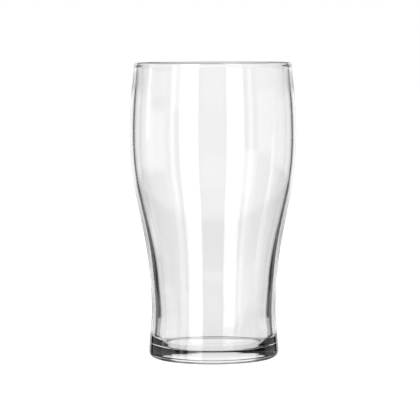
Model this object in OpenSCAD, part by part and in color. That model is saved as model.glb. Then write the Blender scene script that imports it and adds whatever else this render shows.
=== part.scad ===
// Tulip pint glass: one piece of clear soda-lime glass, turned in its mould as it is blown.
// Millimetres, +Z up, with the origin at the middle of the face that it stands on.

/* [Overall] */
// Height from the table to the top of the lip
glass_h = 152; // [144:0.5:160]
// Width at the lip, where its rounding begins
lip_d = 81; // [79:0.1:83]
// Greatest width, at the shoulder
shoulder_d = 86; // [84:0.1:88]
// Least width, at the waist
waist_d = 64.1; // [62:0.1:66]
// Width of the foot
foot_d = 67; // [65:0.1:69]

/* [Outline] */
// Height of the waist, as a share of the glass's height
waist_at = 0.16; // [0.14:0.005:0.2]
// Height where the straight flank begins, as a share of the glass's height
flank_from = 0.437; // [0.4:0.001:0.46]
// Height where the straight flank ends, as a share of the glass's height
flank_to = 0.567; // [0.55:0.001:0.6]
// Height of the shoulder, as a share of the glass's height
shoulder_at = 0.748; // [0.7:0.001:0.78]
// Height of the neck, where the wall leans in most, as a share of the glass's height
neck_at = 0.94; // [0.9:0.001:0.96]
// Degrees that the wall leans in at the neck
neck_lean = 8.1; // [4:0.1:10]
// Degrees that the wall leans in at the lip
lip_lean = 6.8; // [3:0.1:9]

/* [Wall] */
// Thickness of the melted lip, which is also the width of its rounding
lip_wall = 2.0; // [1.8:0.05:2.8]
// Thickness of the wall under the lip
neck_wall = 1.7; // [1.4:0.05:2.4]
// Height over which the wall swells into the lip
swell_h = 1.6; // [1.5:0.1:5]
// Thickness of the wall at the shoulder
shoulder_wall = 2.45; // [1.8:0.05:2.8]
// Thickness of the wall above the waist
waist_wall = 3.8; // [3:0.1:4.4]
// Height below which the inside curves in towards the floor
taper_z = 12.5; // [12:0.5:16]
// Thickness of the wall at that height
taper_wall = 4.4; // [4:0.1:4.8]
// Thickness of the wall beside the inner floor
foot_wall = 5.8; // [5:0.1:6.6]

/* [Base] */
// Height of the flat inner floor above the table
floor_z = 6.3; // [5.5:0.1:7]
// Radius between the inner floor and the wall
corner_r = 0.8; // [0.5:0.1:1.5]
// Radius of the heel, between the foot and the face that it stands on
heel_r = 2.8; // [2:0.1:3.5]
// Width of the ring that it stands on
ring_w = 3.2; // [2:0.1:5]
// Rise of the underside's flat hollow
punt_h = 0.5; // [0.3:0.1:1.5]
// Width of the slope from the ring to the flat of the hollow
punt_slope_w = 5; // [3:0.5:10]

/* [Hidden] */
$fn = 180;

// Shares of the way out from the waist to the shoulder, where the flank begins and ends
FLANK_FROM_SHARE = 0.4;
FLANK_TO_SHARE = 0.76;
// Share of the way in from the shoulder to the lip that is left below the neck
NECK_SHARE = 0.7;
// Heights between which the wall thins to the shoulder's, and from which it thins to the neck's, as shares
THICK_UP_TO = 0.25;
THIN_FROM = 0.6;
THIN_UP_TO = 0.88;
// Steps along a wall up to the lip, in the lip's swelling, in the inside's taper, around a rounding,
// and across the slope of the underside
WALL_STEPS = 50;
SWELL_STEPS = 6;
TAPER_STEPS = 5;
ROUND_STEPS = 10;
SLOPE_STEPS = 8;

foot_r = foot_d / 2;
waist_r = waist_d / 2;
shoulder_r = shoulder_d / 2;
lip_r = lip_d / 2;
bead_r = lip_wall / 2;
lip_z = glass_h - bead_r * (1 - sin(lip_lean));

flank_r = [for (share = [FLANK_FROM_SHARE, FLANK_TO_SHARE]) waist_r + (shoulder_r - waist_r) * share];
flank_slope = (flank_r[1] - flank_r[0]) / ((flank_to - flank_from) * glass_h);
neck_r = shoulder_r - (shoulder_r - lip_r) * NECK_SHARE;
swell_z = lip_z - swell_h;
swell_r = lip_r + swell_h * tan(lip_lean) - (lip_wall - neck_wall) / 2;

// The outline's stations from heel to lip: height, radius, and how fast the radius grows with height
OUTSIDE = [
    [heel_r, foot_r, 0],
    [waist_at * glass_h, waist_r, 0],
    [flank_from * glass_h, flank_r[0], flank_slope],
    [flank_to * glass_h, flank_r[1], flank_slope],
    [shoulder_at * glass_h, shoulder_r, 0],
    [neck_at * glass_h, neck_r, -tan(neck_lean)],
    [swell_z, swell_r, -tan(lip_lean)],
    [lip_z, lip_r, -tan(lip_lean)],
];

// The wall's thickness in the same form, measured level. Down to the corner it grows as a parabola
corner_z = floor_z + corner_r;
taper = 2 * (taper_wall - foot_wall) / (taper_z - corner_z);
WALL = [
    [corner_z, foot_wall, taper],
    [taper_z, taper_wall, 0],
    [THICK_UP_TO * glass_h, waist_wall, 0],
    [THIN_FROM * glass_h, shoulder_wall, 0],
    [THIN_UP_TO * glass_h, shoulder_wall, 0],
    [swell_z, neck_wall, 0],
    [lip_z, lip_wall / cos(lip_lean), 0],
];

// Value at one height of a smooth curve through stations
function between(a, b, z) =
    let (span = b[0] - a[0], t = (z - a[0]) / span)
    a[1] * (2 * t ^ 3 - 3 * t ^ 2 + 1) + a[2] * span * (t ^ 3 - 2 * t ^ 2 + t)
    + b[1] * (3 * t ^ 2 - 2 * t ^ 3) + b[2] * span * (t ^ 3 - t ^ 2);
function along(stations, z, i = 0) =
    z <= stations[i + 1][0] || i == len(stations) - 2
        ? between(stations[i], stations[i + 1], z)
        : along(stations, z, i + 1);

function outer_r(z) = along(OUTSIDE, z);
function inner_r(z) = outer_r(z) - along(WALL, z);

// Points around part of a circle
function arc(centre, r, from, to) = [
    for (i = [0:ROUND_STEPS])
        let (a = from + (to - from) * i / ROUND_STEPS)
        centre + r * [cos(a), sin(a)]
];

// The wall's lean where it meets the corner, then the corner's centre and the height of its upper end
corner_lean = atan(inner_r(corner_z + 1) - inner_r(corner_z));
corner_centre = [inner_r(corner_z) - corner_r * cos(corner_lean), corner_z];
wall_z = corner_z - corner_r * sin(corner_lean);

// The middle of the lip's rounding
bead_centre = [lip_r, lip_z] - bead_r * [cos(lip_lean), sin(lip_lean)];
inner_lip_z = lip_z - lip_wall * sin(lip_lean);

ring_r = foot_r - heel_r;
punt_r = ring_r - ring_w;

// The underside's hollow, from the middle to the ring
function underside() = concat(
    [[0, punt_h]],
    [
        for (i = [0:SLOPE_STEPS])
            let (share = i / SLOPE_STEPS)
            [punt_r - punt_slope_w * (1 - share), punt_h * (1 + cos(180 * share)) / 2]
    ]
);

// Heights between two others, in even steps
function heights(from, to, steps) = [for (i = [1:steps]) from + (to - from) * i / steps];

// The outer wall from the heel to the lip, and the inner wall from the lip to the corner
outer_heights = concat(heights(heel_r, swell_z, WALL_STEPS), heights(swell_z, lip_z, SWELL_STEPS));
inner_heights = concat(
    heights(inner_lip_z, swell_z, SWELL_STEPS),
    heights(swell_z, taper_z, WALL_STEPS),
    heights(taper_z, wall_z, TAPER_STEPS)
);

// Half of the glass's section, anticlockwise from the middle of the underside
function section() = concat(
    underside(),
    arc([ring_r, heel_r], heel_r, -90, 0),
    [for (z = outer_heights) if (z < lip_z) [outer_r(z), z]],
    arc(bead_centre, bead_r, lip_lean, 180 + lip_lean),
    [for (z = inner_heights) if (z > wall_z) [inner_r(z), z]],
    arc(corner_centre, corner_r, -corner_lean, -90),
    [[0, floor_z]]
);

module pint_glass() {
    color([0.88, 0.92, 0.92, 0.45])
        rotate_extrude()
            polygon(section());
}

pint_glass();
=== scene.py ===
import math

import bpy
import numpy as np
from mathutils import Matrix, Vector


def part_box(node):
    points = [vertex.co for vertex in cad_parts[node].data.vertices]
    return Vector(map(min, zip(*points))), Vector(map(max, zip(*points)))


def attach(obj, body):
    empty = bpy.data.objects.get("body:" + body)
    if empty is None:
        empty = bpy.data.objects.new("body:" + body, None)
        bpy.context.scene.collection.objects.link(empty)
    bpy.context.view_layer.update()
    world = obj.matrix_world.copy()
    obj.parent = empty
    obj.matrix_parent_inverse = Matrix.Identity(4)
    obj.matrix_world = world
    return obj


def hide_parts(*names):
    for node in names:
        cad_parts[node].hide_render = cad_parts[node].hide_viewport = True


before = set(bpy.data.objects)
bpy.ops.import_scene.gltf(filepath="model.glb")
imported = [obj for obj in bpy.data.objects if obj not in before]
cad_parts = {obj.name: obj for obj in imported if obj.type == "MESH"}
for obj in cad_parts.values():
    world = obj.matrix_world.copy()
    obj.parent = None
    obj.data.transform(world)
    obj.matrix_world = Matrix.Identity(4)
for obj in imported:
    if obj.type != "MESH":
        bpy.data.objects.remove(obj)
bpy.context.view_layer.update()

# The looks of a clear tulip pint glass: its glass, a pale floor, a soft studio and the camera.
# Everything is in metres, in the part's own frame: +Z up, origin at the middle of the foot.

NODE = "pint_glass"
LOW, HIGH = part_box(NODE)
HEIGHT = HIGH.z - LOW.z

# ---------------------------------------------------------------- camera
# It looks along +Y, slightly downwards, through a long lens
CAMERA_DISTANCE = 7.58 * HEIGHT
CAMERA_HEIGHT = 1.066 * HEIGHT
CAMERA_PITCH = math.radians(4.273)
CAMERA_YAW = math.radians(0.07)
CAMERA_ROLL = math.radians(0.2)
SENSOR = 36.0
LENS = 191.9

# ---------------------------------------------------------------- the glass's mesh
# How near to the seam of the turned solid a vertex lies that is on it
ON_SEAM = 1e-6
# Decimals kept of the seam's points
SEAM_DECIMALS = 7
# Radians of turn below which a run of the section counts as straight
STRAIGHT = 0.0005
# Rise below which a span of the section counts as level, and stays flat
LEVEL = 1e-7
# Longest step along the section, and steps around
LONGEST_STEP = 0.0015
AROUND = 256

# ---------------------------------------------------------------- the glass's material
IOR = 1.52
# What is left of white light after the depth that DENSITY stands for
TINT = (0.95, 0.957, 0.953, 1.0)
DENSITY = 20.0
# Each noise has its waves to the metre and its detail
# The mould's unevenness, and how deep it is
WAVES = (55.0, 1.0)
WAVE_DEPTH = 0.000008
# The haze of washing: the levels of its noise that give its least and its greatest roughness
HAZE = (70.0, 3.0)
HAZE_LEVELS = (0.35, 0.75)
HAZE_ROUGHNESS = (0.0, 0.012)
# The scuffs around the standing ring, in the same way, and how high up they go
SCUFFS = (1500.0, 4.0)
SCUFF_LEVELS = (0.3, 0.7)
SCUFF_ROUGHNESS = (0.05, 0.3)
SCUFF_HEIGHT = 0.0004

# ---------------------------------------------------------------- floor
FLOOR_RADIUS = 6.0
FLOOR_SIDES = 96
FLOOR_COLOUR = (0.9, 0.9, 0.9, 1.0)
FLOOR_GLOW = 1.1
# The paint's grain, as a noise with its depth and its range of roughness
GRAIN = (400.0, 4.0)
GRAIN_LEVELS = (0.3, 0.7)
GRAIN_ROUGHNESS = (0.7, 0.85)
GRAIN_DEPTH = 0.0001

# ---------------------------------------------------------------- studio
# Light from everywhere, then each panel's heading, half width and soft edge, lowest and highest elevation
# and soft edge, all in degrees, and its brightness. Heading 0 is +Y and 90 is -X.
AMBIENT = 0.03
PANELS = [
    # The backdrop, which ends a little above the horizon and so draws the lip and the foot dark
    (0, 25.5, 3, -30, 8.5, 3, 0.94),
    (0, 28, 4, -6, 8, 5, 1.03),
    (8, 20, 8, 4, 11, 4, 0.9),
    (3, 10, 8, 4, 17, 6, 0.8),
    (0, 39, 4, 4, 8.5, 1.5, 0.7),
    # Tall lights behind the camera and to its left, which make the long highlights
    (146, 12.5, 1.5, -50, 45, 3, 3.0),
    (121, 2.5, 2, -50, 45, 3, 1.4),
    (77, 1.5, 1.5, -1.5, 45, 2, 2.2),
    # Dim wings that lighten the glass just inside its edges
    (59, 15, 6, -8.5, 3, 1.5, 0.5),
    (-59, 15, 6, -8.5, 3, 1.5, 0.5),
    # What the glass is seen against from other sides
    (45, 17, 7, -32, -20, 3, 0.95),
    (225, 15, 8, -24, -8, 3, 0.95),
    (90, 15, 7, -10, 1, 4, 0.9),
    (180, 14, 8, -22, -10, 4, 0.35),
]
# Light from straight above and straight below, and the elevations across which each takes over
TOP_LIGHT = 0.08
TOP_EDGE = (48, 60)
BOTTOM_LIGHT = 0.5
BOTTOM_EDGE = (-44, -34)


# ======================================================================
# Meshes
# ======================================================================


def section(node):
    """The node's half section as (radius, height) points, from the middle of its underside over the lip
    to the middle of its inner floor, read along the seam of the turned solid."""
    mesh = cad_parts[node].data
    seam = {
        v.index: (round(v.co.x, SEAM_DECIMALS), round(v.co.z, SEAM_DECIMALS))
        for v in mesh.vertices
        if abs(v.co.y) < ON_SEAM and v.co.x > -ON_SEAM
    }
    beside = {point: set() for point in seam.values()}
    for edge in mesh.edges:
        a, b = (seam.get(i) for i in edge.vertices)
        if a and b and a != b:
            beside[a].add(b)
            beside[b].add(a)
    chain = [min(beside)]
    left = set(beside) - set(chain)
    while left:
        ahead = (beside[chain[-1]] & left) or left
        chain.append(min(ahead, key=lambda point: math.dist(point, chain[-1])))
        left.remove(chain[-1])
    middles = [(0.0, chain[end][1]) for end in (0, -1)]
    return middles[:1] + [point for point in chain if point not in middles] + middles[1:]


def bends(points):
    """The points without those that lie on the straight line between their neighbours."""
    kept = [points[0]]
    for point, after in zip(points[1:], points[2:]):
        way_in = math.atan2(point[1] - kept[-1][1], point[0] - kept[-1][0])
        way_out = math.atan2(after[1] - point[1], after[0] - point[0])
        if abs(math.remainder(way_out - way_in, 2 * math.pi)) > STRAIGHT:
            kept.append(point)
    return kept + [points[-1]]


def smooth(points, longest):
    """A smooth curve through the points, flat where they are level, in steps no longer than longest and
    at least two to a span."""
    p = np.array(points, float)
    spans = np.linalg.norm(np.diff(p, axis=0), axis=1)[:, None]
    slopes = np.diff(p, axis=0) / spans
    inner = (spans[1:] * slopes[:-1] + spans[:-1] * slopes[1:]) / (spans[1:] + spans[:-1])
    tangents = np.vstack([[1, 0], inner, [-1, 0]])
    for i in np.flatnonzero(np.abs(np.diff(p[:, 1])) < LEVEL):
        tangents[i] = tangents[i + 1] = slopes[i]
    made = [p[0]]
    for i, span in enumerate(spans[:, 0]):
        start, end = p[i], p[i + 1]
        leave, arrive = tangents[i] * span, tangents[i + 1] * span
        steps = max(2, math.ceil(span / longest))
        for t in np.arange(1, steps + 1) / steps:
            made.append(
                start * (2 * t**3 - 3 * t**2 + 1)
                + leave * (t**3 - 2 * t**2 + t)
                + end * (3 * t**2 - 2 * t**3)
                + arrive * (t**3 - t**2)
            )
    return made


def turned(name, points, around):
    """A closed solid turned from (radius, height) points that start and end on the axis."""
    rings = points[1:-1]
    angles = [2 * math.pi * i / around for i in range(around)]
    verts = [(0, 0, points[0][1])]
    verts += [(r * math.cos(a), r * math.sin(a), z) for r, z in rings for a in angles]
    verts.append((0, 0, points[-1][1]))
    top = len(verts) - 1
    last = top - around
    faces = []
    for i in range(around):
        j = (i + 1) % around
        faces.append((0, 1 + j, 1 + i))
        for ring in range(len(rings) - 1):
            low, high = 1 + ring * around, 1 + (ring + 1) * around
            faces.append((low + i, low + j, high + j, high + i))
        faces.append((last + i, last + j, top))
    piece = object_of(name, verts, faces)
    for polygon in piece.data.polygons:
        polygon.use_smooth = True
    return piece


def disc(name, radius, sides):
    """A flat disc at the height that the glass stands on."""
    angles = [2 * math.pi * i / sides for i in range(sides)]
    verts = [(radius * math.cos(a), radius * math.sin(a), LOW.z) for a in angles]
    return object_of(name, verts, [tuple(range(sides))])


def object_of(name, verts, faces):
    mesh = bpy.data.meshes.new(name)
    mesh.from_pydata(verts, [], faces)
    mesh.update()
    piece = bpy.data.objects.new(name, mesh)
    bpy.context.scene.collection.objects.link(piece)
    return piece


# ======================================================================
# Nodes
# ======================================================================


class Maths:
    """Short forms for the maths nodes of one tree."""

    def __init__(self, tree):
        self.tree = tree

    def feed(self, sockets, values):
        for socket, value in zip(sockets, values):
            if isinstance(value, (int, float)):
                socket.default_value = value
            else:
                self.tree.links.new(value, socket)

    def do(self, operation, *values):
        node = self.tree.nodes.new("ShaderNodeMath")
        node.operation = operation
        self.feed(node.inputs, values)
        return node.outputs[0]

    def ramp(self, value, start, end, low=0.0, high=1.0):
        """low below start, high above end, and a soft rise between."""
        node = self.tree.nodes.new("ShaderNodeMapRange")
        node.interpolation_type = "SMOOTHSTEP"
        node.inputs["From Min"].default_value = start
        node.inputs["From Max"].default_value = end
        node.inputs["To Min"].default_value = low
        node.inputs["To Max"].default_value = high
        self.tree.links.new(value, node.inputs["Value"])
        return node.outputs["Result"]

    def mixed(self, a, b, share):
        """a where share is 0, b where it is 1."""
        node = self.tree.nodes.new("ShaderNodeMix")
        self.feed((node.inputs["A"], node.inputs["B"], node.inputs["Factor"]), (a, b, share))
        return node.outputs["Result"]


def node_tree(material):
    """A material's empty node tree with its output node."""
    material.use_nodes = True
    tree = material.node_tree
    tree.nodes.clear()
    return tree, tree.nodes.new("ShaderNodeOutputMaterial")


def noise_of(tree, where, scale, detail):
    """A noise texture's level, 0 to 1, over the object's own coordinates."""
    node = tree.nodes.new("ShaderNodeTexNoise")
    node.inputs["Scale"].default_value = scale
    node.inputs["Detail"].default_value = detail
    tree.links.new(where, node.inputs["Vector"])
    return node.outputs["Fac"]


def relief(tree, height, depth):
    """A bump as deep as depth, in metres."""
    node = tree.nodes.new("ShaderNodeBump")
    node.inputs["Strength"].default_value = 1.0
    node.inputs["Distance"].default_value = depth
    tree.links.new(height, node.inputs["Height"])
    return node.outputs["Normal"]


# ======================================================================
# Materials
# ======================================================================


def worn(tree, where):
    """The glass's roughness: haze all over, and scuffs on what touches the table."""
    maths = Maths(tree)
    place = tree.nodes.new("ShaderNodeSeparateXYZ")
    tree.links.new(where, place.inputs[0])
    haze = maths.ramp(noise_of(tree, where, *HAZE), *HAZE_LEVELS, *HAZE_ROUGHNESS)
    scuffs = maths.ramp(noise_of(tree, where, *SCUFFS), *SCUFF_LEVELS, *SCUFF_ROUGHNESS)
    low_down = maths.ramp(place.outputs["Z"], LOW.z, LOW.z + SCUFF_HEIGHT, 1.0, 0.0)
    return maths.mixed(haze, scuffs, low_down)


def clear_glass():
    """Colourless glass, faintly uneven from the mould, hazed by washing, and scuffed where it stands."""
    material = bpy.data.materials.new("clear_glass")
    tree, out = node_tree(material)
    where = tree.nodes.new("ShaderNodeTexCoord").outputs["Object"]

    shader = tree.nodes.new("ShaderNodeBsdfPrincipled")
    shader.inputs["Base Color"].default_value = (1.0, 1.0, 1.0, 1.0)
    shader.inputs["Transmission Weight"].default_value = 1.0
    shader.inputs["IOR"].default_value = IOR
    waves = relief(tree, noise_of(tree, where, *WAVES), WAVE_DEPTH)
    tree.links.new(worn(tree, where), shader.inputs["Roughness"])
    tree.links.new(waves, shader.inputs["Normal"])
    tree.links.new(shader.outputs[0], out.inputs["Surface"])

    absorption = tree.nodes.new("ShaderNodeVolumeAbsorption")
    absorption.inputs["Color"].default_value = TINT
    absorption.inputs["Density"].default_value = DENSITY
    tree.links.new(absorption.outputs[0], out.inputs["Volume"])
    return material


def floor_paint():
    """Matt pale paint with a fine grain, lit from within so that it stays white."""
    material = bpy.data.materials.new("floor_paint")
    tree, out = node_tree(material)
    where = tree.nodes.new("ShaderNodeTexCoord").outputs["Object"]
    grain = noise_of(tree, where, *GRAIN)

    shader = tree.nodes.new("ShaderNodeBsdfPrincipled")
    shader.inputs["Base Color"].default_value = FLOOR_COLOUR
    shader.inputs["Emission Color"].default_value = FLOOR_COLOUR
    shader.inputs["Emission Strength"].default_value = FLOOR_GLOW
    roughness = Maths(tree).ramp(grain, *GRAIN_LEVELS, *GRAIN_ROUGHNESS)
    tree.links.new(roughness, shader.inputs["Roughness"])
    tree.links.new(relief(tree, grain, GRAIN_DEPTH), shader.inputs["Normal"])
    tree.links.new(shader.outputs[0], out.inputs["Surface"])
    return material


# ======================================================================
# Studio
# ======================================================================


def compass(tree, maths):
    """The heading and the elevation, in degrees, of the way that a ray leaves the scene."""
    way = tree.nodes.new("ShaderNodeSeparateXYZ")
    tree.links.new(tree.nodes.new("ShaderNodeTexCoord").outputs["Generated"], way.inputs[0])
    x, y, z = way.outputs
    degree = math.degrees(1)
    heading = maths.do("MULTIPLY", maths.do("ARCTAN2", maths.do("MULTIPLY", x, -1.0), y), degree)
    elevation = maths.do("MULTIPLY", maths.do("ARCSINE", z), degree)
    return heading, elevation


def panel(maths, heading, elevation, sizes):
    """The light of one of the PANELS."""
    centre, half, soft, low, high, edge, strength = sizes
    turn = maths.do("ABSOLUTE", maths.do("WRAP", maths.do("SUBTRACT", heading, centre), 180.0, -180.0))
    across = maths.ramp(turn, half, half + soft, 1.0, 0.0)
    above = maths.ramp(elevation, low - edge, low)
    below = maths.ramp(elevation, high, high + edge, 1.0, 0.0)
    inside = maths.do("MULTIPLY", across, maths.do("MULTIPLY", above, below))
    return maths.do("MULTIPLY", inside, strength)


def studio_light():
    """The panels as a world of light with no walls, and plain white where the camera sees past the glass."""
    world = bpy.data.worlds.new("studio")
    bpy.context.scene.world = world
    world.use_nodes = True
    tree = world.node_tree
    tree.nodes.clear()
    maths = Maths(tree)
    heading, elevation = compass(tree, maths)

    total = AMBIENT
    for sizes in PANELS:
        total = maths.do("MAXIMUM", panel(maths, heading, elevation, sizes), total)
    total = maths.mixed(total, TOP_LIGHT, maths.ramp(elevation, *TOP_EDGE))
    total = maths.mixed(BOTTOM_LIGHT, total, maths.ramp(elevation, *BOTTOM_EDGE))
    seen = tree.nodes.new("ShaderNodeLightPath").outputs["Is Camera Ray"]

    background = tree.nodes.new("ShaderNodeBackground")
    background.inputs["Strength"].default_value = 1.0
    tree.links.new(maths.mixed(total, 1.0, seen), background.inputs["Color"])
    out = tree.nodes.new("ShaderNodeOutputWorld")
    tree.links.new(background.outputs[0], out.inputs["Surface"])


def floor():
    """The pale floor. Only the camera sees it, so that the panels reach the foot from below."""
    piece = disc("floor", FLOOR_RADIUS, FLOOR_SIDES)
    piece.data.materials.append(floor_paint())
    piece.visible_glossy = False
    piece.visible_transmission = False
    piece.visible_diffuse = False
    piece.visible_shadow = False


def camera():
    """The camera, in front of the glass and a little above its lip."""
    data = bpy.data.cameras.new("camera")
    data.sensor_width = SENSOR
    data.lens = LENS
    piece = bpy.data.objects.new("camera", data)
    bpy.context.scene.collection.objects.link(piece)
    piece.location = (0, -CAMERA_DISTANCE, CAMERA_HEIGHT)
    piece.rotation_euler = (math.pi / 2 - CAMERA_PITCH, CAMERA_ROLL, CAMERA_YAW)
    bpy.context.scene.camera = piece
    bpy.context.scene.view_settings.view_transform = "Standard"


# ======================================================================
# The scene
# ======================================================================

glass = turned("clear_pint_glass", smooth(bends(section(NODE)), LONGEST_STEP), AROUND)
glass.data.materials.append(clear_glass())
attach(glass, "root")
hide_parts(NODE)

floor()
studio_light()
camera()
